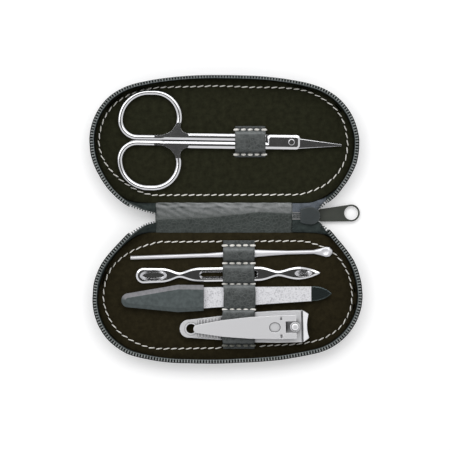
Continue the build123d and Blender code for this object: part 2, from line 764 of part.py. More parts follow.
low_top = tool_floor + arm_thickness
lower_arm = clipper_arm((
    (clipper_back, tool_floor), (bend_x, tool_floor), (clipper_front + 1.2, tool_floor + 0.5),
    (clipper_lip, jaw_edge_low), (clipper_lip - 0.8, jaw_edge_low), (bend_x, low_top),
    (clipper_back, low_top),
), eyelet_bore + eyelet_wall, pin_radius + running_play)
high_bottom = low_top + lap_gap
flat_end = clipper_back + clipper_flat_tail
front_top = arm_top(bend_x)
upper_arm = clipper_arm((
    (clipper_back, high_bottom), (flat_end, high_bottom), (bend_x, front_top - arm_thickness),
    (clipper_lip - 0.8, jaw_edge_high), (clipper_lip, jaw_edge_high),
    (clipper_front + 1.2, front_top - 0.5), (bend_x + 1.1, front_top - jaw_fold_rise),
    (bend_x + 0.8, front_top - jaw_fold_depth), (bend_x + 0.5, front_top - jaw_fold_depth),
    (bend_x + 0.2, front_top), (flat_end, high_bottom + arm_thickness),
    (clipper_back, high_bottom + arm_thickness),
), eyelet_bore + eyelet_wall + 0.2, pin_radius + 0.4)
for number in range(ridge_count):
    x = ridge_start + number * ridge_pitch
    reach = clipper_tail_radius + (x + clipper_tail) * 0.09
    base = max(arm_top(x), arm_top(flat_end)) - 0.3
    upper_arm += block((x - ridge_width / 2, x + ridge_width / 2), (-reach + 0.5, reach - 0.5),
                       (base, base + 0.3 + ridge_height))
eyelet_high = high_bottom + arm_thickness
eyelet_height = eyelet_high + eyelet_flange_height - tool_floor
eyelet = Pos(eyelet_x, 0, tool_floor + eyelet_height / 2) * Cylinder(
    eyelet_bore + eyelet_wall, eyelet_height)
eyelet += Pos(eyelet_x, 0, eyelet_high + eyelet_flange_height / 2) * Cylinder(
    eyelet_flange, eyelet_flange_height)
eyelet -= Pos(eyelet_x, 0, tool_floor) * Cylinder(eyelet_bore, 8 * arm_thickness)

# Lever, stored tail to tail with the arms, and the pin that carries it
lever_edge = ((-lever_tail, lever_tail_radius), *lever_sides, (lever_front, lever_half_width))
lever_plan = polygon([*lever_edge, *[(x, -y) for x, y in reversed(lever_edge)]])
lever_plan += Pos(-lever_tail, 0) * Circle(lever_tail_radius)
notch_x = lever_front - lever_notch_depth
lever_plan -= Pos(notch_x + lever_notch_depth / 2, 0) * Rectangle(
    lever_notch_depth, 2 * lever_notch_half)
for side in (-1, 1):
    lever_plan -= Pos(lever_nicks[0], side * lever_nicks[1]) * Rectangle(0.9, 1.45)
lever = slab(lever_plan, 0, lever_thickness)
dimple = Pos(lever_dimple[0], 0) * Ellipse(*lever_dimple[1:])
lever -= slab(dimple, lever_thickness - 0.4, lever_thickness)
cam = block((notch_x - cam_length, notch_x), (-lever_notch_half, lever_notch_half),
            (0.3 - lever_rise, 0.2))
lever_z = arm_top(0) + lever_rise
lever_slope = degrees(atan2(arm_slope, 1))
lever = Pos(0, 0, lever_z) * Rot(0, -lever_slope, 0) * (lever + cam)
pin_top = lever_z + pin_head
pin_height = pin_top - tool_floor
pin = Pos(0, 0, tool_floor + pin_height / 2) * Cylinder(pin_radius, pin_height)
pin = fillet(pin.edges().group_by(Axis.Z)[-1], pin_radius * 0.4)
pin += Pos(0, 0, lever_z + pin_collar_height / 2) * Cylinder(
    pin_collar_radius, pin_collar_height)
clipper_place = Pos(clipper_x, clipper_y, 0) * Rot(0, 0, clipper_tilt)
for node, shape in (("lower_arm", lower_arm), ("upper_arm", upper_arm), ("eyelet", eyelet),
                    ("lever", lever), ("pin", pin)):
    write(f"clipper_{node}", [clipper_place * shape])
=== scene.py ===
"""Manicure set case, zipped all round, lying open with its tools in their loops.

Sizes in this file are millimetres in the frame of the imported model: X along the fold, +Y from
the fold into the lid, +Z up from the table. The base is the half on the -Y side.
"""
import math
import random

import bmesh
import bpy
import numpy as np
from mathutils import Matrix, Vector


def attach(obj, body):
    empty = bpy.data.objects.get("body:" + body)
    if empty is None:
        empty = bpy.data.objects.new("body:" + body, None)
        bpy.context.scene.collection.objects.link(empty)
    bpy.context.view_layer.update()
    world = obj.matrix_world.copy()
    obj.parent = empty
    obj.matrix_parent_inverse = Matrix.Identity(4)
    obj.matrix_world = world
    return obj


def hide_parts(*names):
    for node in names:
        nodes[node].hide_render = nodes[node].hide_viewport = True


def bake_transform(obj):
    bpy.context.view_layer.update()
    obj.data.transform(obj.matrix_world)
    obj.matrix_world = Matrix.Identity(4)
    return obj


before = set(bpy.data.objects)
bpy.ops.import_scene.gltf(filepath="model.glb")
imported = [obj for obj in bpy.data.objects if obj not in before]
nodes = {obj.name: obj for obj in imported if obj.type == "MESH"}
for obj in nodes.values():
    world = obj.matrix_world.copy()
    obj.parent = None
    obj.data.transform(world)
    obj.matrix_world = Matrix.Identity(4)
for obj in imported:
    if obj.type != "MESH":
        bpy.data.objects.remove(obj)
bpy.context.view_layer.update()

# Viewpoint: the open case is looked at from straight above, from 70 cm.
# The far half is the lid, at the top of the picture.
view_point = (-0.3, -3.05, 700.0)
view_data = bpy.data.cameras.new("view")
view_data.sensor_width = 36.0
view_data.lens = 133.95
view_data.clip_start = 0.01
view = bpy.data.objects.new("view", view_data)
view.location = [size / 1000 for size in view_point]
bpy.context.scene.collection.objects.link(view)
bpy.context.scene.camera = view

# Outside leather: one dark skin, cut to the outline of both halves and the fold between them.
# Its edge is turned up round each board and sewn to the zip, so it only shows at the sides
# and underneath.
half_names = ("base", "lid")
side_of = {"base": -1, "lid": 1}
shift_of = {"base": 0.7, "lid": -0.35}  # the halves lie a little out of line with each other
widest = 32.2  # from the fold to the widest place of a half
corner_steps, outer_steps, near_steps = 64, 170, 60  # stations at each end, far and near side
fold_left, fold_right = -29.3, 27.7
fold_half_width = 6.46
leather_under, leather_over = 0.0, 0.9
# Edge of each panel beside the fold, out to the widest place: (from the middle, from the fold)
panel_corner = {
    ("lid", "left"): (
        (28.9, 6.5), (34.6, 6.65), (38.0, 7.1), (40.9, 8.0), (43.8, 9.9), (46.6, 12.9),
        (48.6, 16.0), (50.3, 19.3), (51.6, 22.4), (52.6, 26.0), (53.1, 29.0)),
    ("lid", "right"): (
        (28.1, 6.45), (33.0, 6.5), (36.1, 6.8), (39.4, 8.0), (42.7, 9.9), (46.0, 12.3),
        (48.2, 14.8), (50.0, 17.6), (51.4, 20.6), (52.4, 23.6), (53.1, 27.5)),
    ("base", "left"): (
        (30.0, 6.5), (33.0, 6.7), (36.5, 7.6), (39.5, 9.2), (42.4, 11.5), (45.3, 14.4),
        (48.0, 17.8), (50.3, 21.6), (51.7, 25.0), (52.7, 29.0)),
    ("base", "right"): (
        (27.0, 6.5), (33.0, 6.55), (37.0, 6.8), (40.5, 7.6), (43.6, 9.3), (46.2, 12.0),
        (48.5, 15.5), (50.3, 19.0), (51.7, 22.7), (52.6, 26.5), (53.1, 29.8)),
}
panel_half_length, panel_far, panel_radius = 53.3, 57.85, 22.4
# The halves aren't quite even: how far each one's outline stands out, by the direction from
# its middle in degrees, from its right end round the far side to its left end
fullness = {
    "base": ((-20, 0.0), (-8, 0.2), (0, 0.5), (20, 0.42), (30, 0.5), (40, 0.65), (50, 0.8),
             (60, 0.66), (80, 0.6), (90, 0.78), (110, 1.2), (120, 1.6), (130, 2.35), (138, 2.75),
             (145, 2.8), (150, 2.6), (155, 2.1), (160, 1.85), (170, 1.05), (180, 0.35), (190, 0.1),
             (200, 0.0)),
    "lid": ((-15, 0.0), (0, 0.2), (6, -0.3), (15, -0.6), (25, -0.75), (31, -0.7), (36, -0.2),
            (45, 0.0), (60, 0.0), (75, -0.15), (90, -0.15), (105, 0.0), (120, 0.2), (140, 0.45),
            (150, 0.2), (160, 0.5), (170, 0.5), (180, 0.65), (190, 0.45), (200, 0.1), (210, 0.0)),
}


def along(place, table):
    """The value at a place, or at many, read from a table of (place, value)."""
    marks, values = zip(*table)
    return np.interp(place, marks, values)


def between(first, second, share):
    """The place or value a share of the way from the first to the second."""
    return first + (second - first) * share


def smooth_line(guides, per_span=12):
    """A smooth line through guide points."""
    points = [np.array(guide, float) for guide in guides]
    ends = [2 * points[0] - points[1], *points, 2 * points[-1] - points[-2]]
    line = []
    for a, b, c, d in zip(ends, ends[1:], ends[2:], ends[3:]):
        for step in range(per_span):
            t = step / per_span
            line.append(0.5 * (2 * b + (c - a) * t + (2 * a - 5 * b + 4 * c - d) * t**2
                               + (3 * b - a - 3 * c + d) * t**3))
    line.append(points[-1])
    return np.array(line)


def evenly(line, count):
    """The same line as evenly spaced points."""
    line = np.array(line, float)
    run = np.concatenate([[0], np.cumsum(np.linalg.norm(np.diff(line, axis=0), axis=1))])
    marks = np.linspace(0, run[-1], count)
    return np.column_stack([np.interp(marks, run, line[:, axis]) for axis in range(line.shape[1])])


def arc_points(centre, radius, start, end):
    """Points round part of a circle, angles in radians."""
    turn = np.linspace(start, end, 60)
    return np.column_stack([centre[0] + radius * np.cos(turn), centre[1] + radius * np.sin(turn)])


def outer_line(half_length, far, radius):
    """Round ends and bowed far side of a half, from its left to its right widest place."""
    end_x, reach = half_length - radius, far - widest
    bow = (end_x**2 + reach**2 - radius**2) / (2 * (reach - radius))
    lean = math.atan2(bow - reach, end_x)
    return np.vstack([
        arc_points((-end_x, widest), radius, math.pi, math.pi - lean),
        arc_points((0, far - bow), bow, math.pi - lean, lean)[1:],
        arc_points((end_x, widest), radius, lean, 0)[1:],
    ])


def half_line(half, corners, half_length, far, radius):
    """A line round a half from its left to its right end at the fold, with its fullness."""
    left, right = (evenly(smooth_line([*corners[half, end], (half_length, widest)]), corner_steps)
                   for end in ("left", "right"))
    outer = evenly(outer_line(half_length, far, radius), outer_steps)
    line = np.vstack([left * (-1, 1), outer[1:-1], right[::-1]])
    spokes = line - (0, widest)
    turn = np.degrees(np.arctan2(spokes[:, 1], spokes[:, 0]))
    turn = np.where(turn < -90, turn + 360, turn)
    reach = np.linalg.norm(spokes, axis=1)
    return line + spokes * (along(turn, fullness[half]) / reach)[:, None]


def laid_out(line, half, shift):
    """A line round a half, closed along the fold, where it lies in the open case."""
    back = np.linspace(line[-1], line[0], near_steps)[1:-1]
    loop = np.vstack([line, back]) * (1, side_of[half])
    loop[:, 0] += shift
    return loop


def at_height(loop, height):
    """A flat loop lifted to a height."""
    return [(x, y, height) for x, y in loop]


def inset_rows(loop, half, steps):
    """Rows along a half's loop, one for each (distance inward, height)."""
    ahead = np.roll(loop, -1, axis=0) - np.roll(loop, 1, axis=0)
    ahead /= np.linalg.norm(ahead, axis=1)[:, None]
    inner = np.column_stack([ahead[:, 1], -ahead[:, 0]]) * side_of[half]
    return [at_height(loop + inner * back, height) for back, height in steps]


def piece(name, points, faces, smooth=True):
    """A new piece from points in millimetres, with its faces outward."""
    mesh = bpy.data.meshes.new(name)
    mesh.from_pydata([tuple(float(size) / 1000 for size in point) for point in points], [], faces)
    shell = bmesh.new()
    shell.from_mesh(mesh)
    bmesh.ops.recalc_face_normals(shell, faces=shell.faces)
    shell.to_mesh(mesh)
    shell.free()
    mesh.polygons.foreach_set("use_smooth", [smooth] * len(mesh.polygons))
    made = bpy.data.objects.new(name, mesh)
    bpy.context.scene.collection.objects.link(made)
    return made


def skin(rows, points=None, faces=None):
    """Faces between rings of points, both ends filled, added to the lists given."""
    points = [] if points is None else points
    faces = [] if faces is None else faces
    first, wide = len(points), len(rows[0])
    last = first + (len(rows) - 1) * wide
    for row in rows:
        points.extend(row)
    for low in range(first, last, wide):
        for k in range(wide):
            after = (k + 1) % wide
            faces.append((low + k, low + after, low + wide + after, low + wide + k))
    faces.append(tuple(range(first + wide - 1, first - 1, -1)))
    faces.append(tuple(range(last, last + wide)))
    return points, faces


def colour(red, green, blue):
    """A display colour, 0 to 255, as the shader wants it."""
    parts = [value / 255 for value in (red, green, blue)]
    return [p / 12.92 if p <= 0.04045 else ((p + 0.055) / 1.055) ** 2.4 for p in parts] + [1.0]


def finish(name, shade, rough, metal=0.0, gloss=0.5):
    """A new finish: its material, node tree and main shader."""
    material = bpy.data.materials.new(name)
    material.use_nodes = True
    tree = material.node_tree
    shader = tree.nodes["Principled BSDF"]
    shader.inputs["Base Color"].default_value = colour(*shade)
    shader.inputs["Roughness"].default_value = rough
    shader.inputs["Metallic"].default_value = metal
    shader.inputs["Specular IOR Level"].default_value = gloss
    material.diffuse_color = colour(*shade)
    return material, tree, shader


def places(tree):
    """The node that gives a tree its places and normals."""
    node = tree.nodes.get("places") or tree.nodes.new("ShaderNodeTexCoord")
    node.name = "places"
    return node.outputs


def pattern(tree, kind, scale, **settings):
    """A noise, cell or wave pattern in the piece's own space; scale is marks per metre."""
    node = tree.nodes.new(f"ShaderNodeTex{kind}")
    tree.links.new(places(tree)["Object"], node.inputs["Vector"])
    node.inputs["Scale"].default_value = scale
    for key, value in settings.items():
        if key in node.inputs.keys():
            node.inputs[key].default_value = value
        else:
            setattr(node, key, value)
    return node.outputs["Fac" if "Fac" in node.outputs.keys() else "Distance"]


def tint(tree, shader, source, low, high, start=0.3, end=0.7):
    """Spreads a pattern between two colours, on the shader if one is given."""
    ramp = tree.nodes.new("ShaderNodeValToRGB")
    for stop, position, shade in zip(ramp.color_ramp.elements, (start, end), (low, high)):
        stop.position = position
        stop.color = colour(*shade)
    tree.links.new(source, ramp.inputs["Fac"])
    if shader:
        tree.links.new(ramp.outputs["Color"], shader.inputs["Base Color"])
    return ramp.outputs["Color"]


def relief(tree, shader, source, height, strength=1.0):
    """Raises a pattern by a height in millimetres, over any relief there already."""
    bump = tree.nodes.new("ShaderNodeBump")
    bump.inputs["Distance"].default_value = height / 1000
    bump.inputs["Strength"].default_value = strength
    tree.links.new(source, bump.inputs["Height"])
    socket = shader.inputs["Normal"]
    if socket.is_linked:
        tree.links.new(socket.links[0].from_socket, bump.inputs["Normal"])
    tree.links.new(bump.outputs["Normal"], socket)
    return bump


def dress(thing, material):
    """Gives a piece its finish."""
    thing.data.materials.clear()
    thing.data.materials.append(material)


panel_edge = {half: half_line(half, panel_corner, panel_half_length, panel_far, panel_radius)
              for half in half_names}
edge_loop = {half: laid_out(panel_edge[half], half, shift_of[half]) for half in half_names}

# Seam lines, sewn by eye a little inside each panel's edge: up the left end, round the far side
# and down the right end, as (along the fold, from the fold)
seam_guides = {
    "lid": (
        ((-26.5, 9.4), (-30.3, 9.5), (-35.3, 10.7), (-40.7, 13.6), (-45.1, 16.9), (-49.0, 21.1),
         (-51.8, 26.1), (-53.0, 31.7)),
        ((-53.0, 31.7), (-52.0, 37.5), (-49.9, 42.7), (-46.5, 47.0), (-42.0, 50.3), (-36.5, 52.6),
         (-28.0, 54.2), (-15.3, 54.6), (-2.4, 54.9), (10.3, 54.4), (22.4, 54.2), (31.3, 53.3),
         (36.9, 51.5), (41.9, 48.6), (46.3, 44.7), (49.5, 38.8), (50.8, 31.3)),
        ((50.8, 31.3), (50.3, 25.9), (48.2, 20.8), (44.8, 16.5), (40.2, 13.0), (35.4, 11.0),
         (32.6, 10.1), (29.7, 9.6))),
    "base": (
        ((-27.4, 10.1), (-33.1, 11.5), (-38.8, 13.8), (-43.4, 16.8), (-47.3, 20.7), (-49.8, 25.5),
         (-50.9, 31.1)),
        ((-50.9, 31.1), (-50.8, 35.5), (-48.8, 41.4), (-45.4, 46.7), (-40.4, 50.5), (-35.0, 53.1),
         (-29.2, 54.5), (-21.1, 54.6), (-8.6, 54.4), (3.9, 54.1), (18.4, 53.3), (30.5, 52.6),
         (37.6, 51.3), (42.6, 49.3), (46.9, 46.4), (49.9, 42.6), (52.1, 37.4), (52.7, 32.0)),
        ((52.7, 32.0), (51.7, 25.5), (49.4, 20.1), (45.9, 15.5), (41.1, 12.5), (35.6, 10.5),
         (32.7, 9.9), (29.0, 9.7))),
}
seam_loop = {}
for half, stretches in seam_guides.items():
    left, far, right = (evenly(smooth_line(guides), count) for guides, count in
                        zip(stretches, (corner_steps, outer_steps, corner_steps)))
    seam_loop[half] = laid_out(np.vstack([left, far[1:-1], right]), half, 0.0)

leather, leather_tree, leather_shader = finish("outside_leather", (46, 50, 47), 0.5)
leather_cells = pattern(leather_tree, "Voronoi", 900.0, feature="DISTANCE_TO_EDGE")
leather_wear = pattern(leather_tree, "Noise", 60.0, Detail=6.0)
tint(leather_tree, leather_shader, leather_wear, (40, 44, 41), (54, 58, 55))
relief(leather_tree, leather_shader, leather_cells, 0.12, 0.7)
relief(leather_tree, leather_shader, pattern(leather_tree, "Noise", 2500.0, Detail=4.0), 0.05, 0.5)

seam_groove = ((1.2, leather_under), (0.5, 0.03), (0.0, 0.32), (-0.5, 0.03))
turned_edge = ((-0.35, 0.0), (-0.62, 0.12), (-0.78, 0.4), (-0.78, 0.85), (-0.68, 1.12),
               (-0.5, 1.2), (-0.46, leather_over), (1.0, leather_over))
for half in half_names:
    edge, seam = edge_loop[half], seam_loop[half]
    rows = inset_rows(seam, half, seam_groove)
    rows += [at_height(between(seam, edge, share), leather_under) for share in (0.45, 0.7)]
    points, faces = skin(rows + inset_rows(edge, half, turned_edge))
    # The half of the fold's leather beside this panel
    strip_rows = []
    for x in np.linspace(fold_left, fold_right, 40):
        across = np.linspace(fold_half_width, 0.02, 16)
        dip = 0.25 if x in (fold_left, fold_right) else 0.0
        upper = [(x, side_of[half] * v, leather_over - dip) for v in across]
        lower = [(x, side_of[half] * v, leather_under + dip) for v in across[::-1]]
        strip_rows.append(upper + lower)
    outside = piece(f"{half}_outside_leather", *skin(strip_rows, points, faces))
    dress(outside, leather)
    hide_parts(f"{half}_cover", "spine_cover")
    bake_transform(outside)

# Boards: grey card that keeps each half flat, glued between the leather and the lining.
# They hardly show, at the step under the lining's edge.
card, card_tree, card_shader = finish("grey_card", (92, 90, 84), 0.9)
fibres = pattern(card_tree, "Noise", 900.0, Detail=8.0)
tint(card_tree, card_shader, fibres, (78, 76, 70), (104, 101, 95))
relief(card_tree, card_shader, pattern(card_tree, "Noise", 1800.0, Detail=6.0), 0.05)
card_side = ((0.75, 0.92), (0.6, 1.05), (0.6, 1.75), (0.75, 1.88))
for half in half_names:
    board = piece(f"{half}_card", *skin(inset_rows(edge_loop[half], half, card_side)), smooth=False)
    dress(board, card)
    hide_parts(f"{half}_board")
    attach(board, half)

# Lining: dark olive velour glued over each board, browner in the base and greener in the lid,
# its edge turned under. The seam round it pulls the velour down a little.
velour_top = 2.39


def ranged(tree, source, start, end, low=0.0, high=1.0):
    """A value's range from start to end, stretched to run from low to high."""
    node = tree.nodes.new("ShaderNodeMapRange")
    for socket, value in zip(("From Min", "From Max", "To Min", "To Max"), (start, end, low, high)):
        node.inputs[socket].default_value = value
    tree.links.new(source, node.inputs["Value"])
    return node.outputs["Result"]


def one_axis(tree, kind, axis):
    """One axis of a piece's places or normals."""
    split = tree.nodes.new("ShaderNodeSeparateXYZ")
    tree.links.new(places(tree)[kind], split.inputs["Vector"])
    return split.outputs[axis]


def worked_out(tree, operation, *values):
    """A sum or product of sockets and numbers."""
    node = tree.nodes.new("ShaderNodeMath")
    node.operation = operation
    for socket, value in zip(node.inputs, values):
        if isinstance(value, float):
            socket.default_value = value
        else:
            tree.links.new(value, socket)
    return node.outputs["Value"]


def blend_tints(tree, shader, source, first, second):
    """Mixes two coloured patterns by a third."""
    mix = tree.nodes.new("ShaderNodeMix")
    mix.data_type = "RGBA"
    for number, value in ((0, source), (6, first), (7, second)):
        tree.links.new(value, mix.inputs[number])
    tree.links.new(mix.outputs[2], shader.inputs["Base Color"])


velour, velour_tree, velour_shader = finish("velour", (36, 33, 20), 0.95, gloss=0.1)
velour_shader.inputs["Sheen Weight"].default_value = 0.08
velour_shader.inputs["Sheen Roughness"].default_value = 0.5
velour_shader.inputs["Sheen Tint"].default_value = colour(120, 125, 100)
nap = pattern(velour_tree, "Noise", 420.0, Detail=5.0, Roughness=0.7)
cloud = pattern(velour_tree, "Noise", 35.0, Detail=4.0)
brown = tint(velour_tree, None, nap, (31, 26, 13), (46, 40, 24), 0.35, 0.75)
green = tint(velour_tree, None, nap, (26, 28, 17), (41, 44, 30), 0.35, 0.75)
into_base = ranged(velour_tree, one_axis(velour_tree, "Object", "Y"), 0.005, -0.005, 0.1, 0.75)
dye = worked_out(velour_tree, "MULTIPLY_ADD", cloud, 0.3, into_base)
blend_tints(velour_tree, velour_shader, dye, green, brown)
relief(velour_tree, velour_shader, pattern(velour_tree, "Noise", 1500.0, Detail=5.0), 0.25, 0.6)
relief(velour_tree, velour_shader, pattern(velour_tree, "Noise", 260.0, Detail=3.0), 0.15, 0.5)
velour_edge = ((1.5, 1.9), (-0.15, 1.9), (-0.38, 2.05), (-0.35, 2.25), (-0.1, velour_top))
velour_groove = ((-0.9, velour_top), (-0.35, 2.25), (0.0, 2.18), (0.35, 2.25), (1.0, velour_top))
for half in half_names:
    edge, seam = edge_loop[half], seam_loop[half]
    rows = inset_rows(edge, half, velour_edge)
    rows.append(at_height(between(edge, seam, 0.5), velour_top))
    lining = piece(f"{half}_velour", *skin(rows + inset_rows(seam, half, velour_groove)))
    dress(lining, velour)
    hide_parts(f"{half}_lining")
    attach(lining, half)

# Seam thread: off-white waxed thread in long even stitches round each half,
# a little askew, showing on the lining and on the outside leather.
stitch_length, stitch_width, stitch_pitch = 2.85, 0.48, 3.1
stitch_slant = math.radians(11)
top_floor, top_rise = 2.16, 0.26
under_floor, under_rise = 0.3, 0.28
# Sections along a stitch: (share of its length, of its width, of its rise)
stitch_shape = ((-0.5, 0.25, -0.3), (-0.42, 0.7, 0.1), (-0.2, 1.0, 0.42), (0.0, 1.0, 0.5),
                (0.2, 1.0, 0.42), (0.42, 0.7, 0.1), (0.5, 0.25, -0.3))
strap_left, strap_width, strap_margin = -1.1, 13.1, 0.6  # the tool strap covers some stitches
thread, thread_tree, thread_shader = finish("thread", (236, 233, 226), 0.6, gloss=0.3)
strands = pattern(thread_tree, "Wave", 900.0, bands_direction="DIAGONAL", Distortion=2.0)
relief(thread_tree, thread_shader, strands, 0.08, 0.6)
tint(thread_tree, thread_shader, pattern(thread_tree, "Noise", 700.0, Detail=3.0),
     (218, 215, 206), (248, 246, 241))


def stitch(points, faces, place, turn, length, width, floor, rise, facing=1):
    """One tapered stitch lying on a floor, its ends dipping into the cloth."""
    ahead = np.array((math.cos(turn), math.sin(turn)))
    across = np.array((-ahead[1], ahead[0]))
    rows = []
    for share, wide, lift in stitch_shape:
        centre = np.array(place) + ahead * share * length
        ring = []
        for k in range(8):
            angle = 2 * math.pi * k / 8
            side = across * math.cos(angle) * wide * width / 2
            lifted = floor + facing * rise * (lift + 0.5 * wide * math.sin(angle))
            ring.append((centre[0] + side[0], centre[1] + side[1], lifted))
        rows.append(ring)
    skin(rows, points, faces)


chance = random.Random(11)
for half in half_names:
    ring = np.vstack([seam_loop[half], seam_loop[half][:1]])
    length = np.linalg.norm(np.diff(ring, axis=0), axis=1).sum()
    spots = evenly(ring, round(length / stitch_pitch) + 1)[:-1]
    points, faces = [], []
    for place, step in zip(spots, np.roll(spots, -1, axis=0) - np.roll(spots, 1, axis=0)):
        askew = math.atan2(step[1], step[0]) + stitch_slant + chance.uniform(-0.04, 0.04)
        size = stitch_length * chance.uniform(0.93, 1.07)
        from_strap = abs(place[0] - strap_left - strap_width / 2) - strap_width / 2
        if half == "lid" or from_strap > strap_margin:
            stitch(points, faces, place, askew, size, stitch_width, top_floor, top_rise)
        stitch(points, faces, place, askew, size, stitch_width, under_floor, under_rise, facing=-1)
    seam_thread = piece(f"{half}_seam_thread", points, faces)
    dress(seam_thread, thread)
    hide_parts(f"{half}_stitching")
    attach(seam_thread, half)

# Zip tape: dark grey woven tape sewn round the edge of each half. It stands up as a low wall,
# lies down beside the fold, and at the right runs in under the slider.
# The coil's outside line beside the fold, out to the widest place: (from the middle, from the fold)
rim_corner = {
    ("lid", "left"): (
        (28.85, 0.7), (31.6, 1.5), (34.9, 2.45), (38.2, 3.8), (41.5, 5.7), (44.6, 8.3),
        (47.4, 11.2), (49.8, 14.5), (51.8, 18.2), (53.5, 22.2), (54.7, 27.0)),
    ("lid", "right"): (
        (28.1, 2.4), (33.0, 2.4), (37.0, 2.6), (39.4, 3.6), (41.9, 5.6), (45.6, 8.7),
        (49.3, 13.4), (51.1, 16.2), (52.8, 19.4), (54.1, 22.8), (54.9, 27.4)),
    ("base", "left"): (
        (29.95, 0.8), (33.7, 1.85), (35.8, 2.9), (37.9, 4.3), (39.6, 5.6), (41.7, 7.5),
        (45.3, 11.3), (47.9, 14.1), (50.2, 17.0), (52.1, 20.0), (53.6, 23.5), (54.7, 27.5)),
    ("base", "right"): (
        (27.0, 0.9), (33.0, 0.9), (36.0, 1.0), (38.2, 1.9), (40.4, 3.4), (42.9, 5.9),
        (45.6, 9.2), (47.7, 11.7), (49.9, 14.7), (51.8, 17.8), (53.3, 21.3), (54.3, 24.8),
        (54.8, 28.0)),
}
rim_half_length, rim_far, rim_radius = 55.0, 59.2, 23.9
right_from = corner_steps + outer_steps - 2  # first station of a half's right end
tape_back = 1.4  # from the coil's outside to the tape's inner face
tape_foot = 0.45  # from the panel's edge to the tape's inner face
tape_thickness = 0.38
tape_below_rim = 0.75
tape_sag, tape_lip = 0.25, 0.14  # its bow between foot and top, and its rounded top
flat_tape_height = 3.28
# Heights beside the fold, by the distance from the middle: of the coil's top and the tape's foot
rim_top, wall_foot = 8.72, 1.05
left_heights = ((28.5, 4.2), (32.6, 6.4), (36.7, 7.8), (41.0, 8.5), (45.0, rim_top))
right_heights = ((38.8, 4.0), (41.0, 5.4), (45.6, 6.3), (49.0, 7.9), (52.5, rim_top))
left_feet = ((30.0, 2.45), (42.0, wall_foot))
right_feet = ((38.0, 2.85), (43.0, wall_foot))
right_upright = ((38.6, 0.0), (41.5, 1.0))  # from lying flat to standing up
# Where the tape's ends are cut from the length round each half: (nearer the fold, nearer the half)
bend = {"start": (-25.0, -40.0), "end": (38.5, 42.7)}


def woven(name, shade, dark, light, lit_edge=None):
    """Twill tape in one shade, or with a painted highlight along its upper edge."""
    material, tree, shader = finish(name, shade, 0.85, gloss=0.2)
    plain = tint(tree, shader, pattern(tree, "Noise", 500.0, Detail=5.0), dark, light)
    # Painted highlight: the tape is paler over the top of its wall.
    if lit_edge:
        lit_tint = tint(tree, None, pattern(tree, "Noise", 900.0, Detail=4.0), *lit_edge)
        near_top = ranged(tree, one_axis(tree, "Object", "Z"), 0.0058, 0.0072)
        blend_tints(tree, shader, near_top, plain, lit_tint)
    ribs = pattern(tree, "Wave", 700.0, bands_direction="DIAGONAL", Distortion=1.0)
    relief(tree, shader, ribs, 0.1, 0.6)
    relief(tree, shader, pattern(tree, "Noise", 1600.0, Detail=3.0), 0.08, 0.5)
    return material


# The last pair of shades is the painted highlight along the tape's upper edge.
tape = woven("zip_tape", (46, 53, 52), (34, 41, 40), (55, 63, 61), ((78, 84, 84), (116, 122, 121)))
# A paler copy of the tape for the lid's end by the slider: painted light, that end faces up.
lit_tape = woven("zip_tape_lit", (84, 90, 97), (70, 76, 82), (104, 110, 118))

rim = {}
for half in half_names:
    line = half_line(half, rim_corner, rim_half_length, rim_far, rim_radius)
    steps = np.arange(len(line))
    top = np.where(steps < corner_steps, along(-line[:, 0], left_heights), rim_top)
    top = np.where(steps >= right_from, along(line[:, 0], right_heights), top)
    ahead = np.gradient(line, axis=0)
    ahead /= np.linalg.norm(ahead, axis=1)[:, None]
    outward = np.column_stack([-ahead[:, 1], ahead[:, 0]])
    rim[half] = {"line": line, "top": top, "out": outward}


def tape_section(half, k):
    """The tape's cross-section at a station: up its inner face, down its outer face."""
    line, out, top = (rim[half][key][k] for key in ("line", "out", "top"))
    upright, foot_height = 1.0, wall_foot
    if k >= right_from:
        upright, foot_height = along(line[0], right_upright), along(line[0], right_feet)
    elif k < corner_steps:
        foot_height = along(-line[0], left_feet)
    panel = panel_edge[half][k]
    apart = max(np.linalg.norm(line - panel), 1e-6)
    foot = np.array((*(panel + (line - panel) / apart * tape_foot), foot_height))
    head_height = flat_tape_height + upright * (top - tape_below_rim - flat_tape_height)
    head = np.array((*(line - out * tape_back * upright), head_height))
    lean = head - foot
    lean /= np.linalg.norm(lean)
    thick = np.array((*(out * abs(lean[2])), -math.hypot(lean[0], lean[1]))) * tape_thickness
    sag = np.array((*out, -0.6)) * tape_sag
    section = []
    for share, bow in ((0.0, 0.0), (0.3, 0.8), (0.65, 0.8), (1.0, 0.0)):
        section.append(foot * (1 - share) + head * share + sag * bow * upright)
    back = [spot + thick for spot in section[::-1]]
    section.append(section[-1] + thick * 0.5 + lean * tape_lip)
    return [(x + shift_of[half], y * side_of[half], z) for x, y, z in section + back]


def station_near(half, x, stations):
    """The one of a half's stations nearest a place along the fold."""
    line = rim[half]["line"]
    return min(stations, key=lambda k: abs(line[k, 0] + shift_of[half] - x))


def fasten(strand, half, part, kind):
    """Ties a length of tape or coil to its half, or leaves an end piece where it lies."""
    if part == "round":
        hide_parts(f"{half}_zip_{kind}")
        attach(strand, half)
    else:
        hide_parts(f"zip_{part}_{kind}")
        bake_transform(strand)


for half in half_names:
    last = len(rim[half]["line"]) - 1
    left_cut = station_near(half, bend["start"][1], range(corner_steps))
    right_cut = station_near(half, bend["end"][1], range(right_from, last + 1))
    rim[half]["cuts"] = (left_cut, right_cut)
    for part, first, final in (("start", 0, left_cut), ("round", left_cut, right_cut),
                               ("end", right_cut, last)):
        rows = [tape_section(half, k) for k in range(first, final + 1)]
        band = piece(f"{half}_tape_{part}", *skin(rows))
        dress(band, lit_tape if (half, part) == ("lid", "end") else tape)
        fasten(band, half, part, "tape")

# Zip coil: turns of dark nylon wire sewn along the tape's edge, each turn a tooth with a fuller
# head that catches between two of the other half's when the zip is shut. A near-black cord under
# the turns is painted shade, seen between them.
tooth_pitch, tooth_width, tooth_height = 1.2, 0.64, 1.3
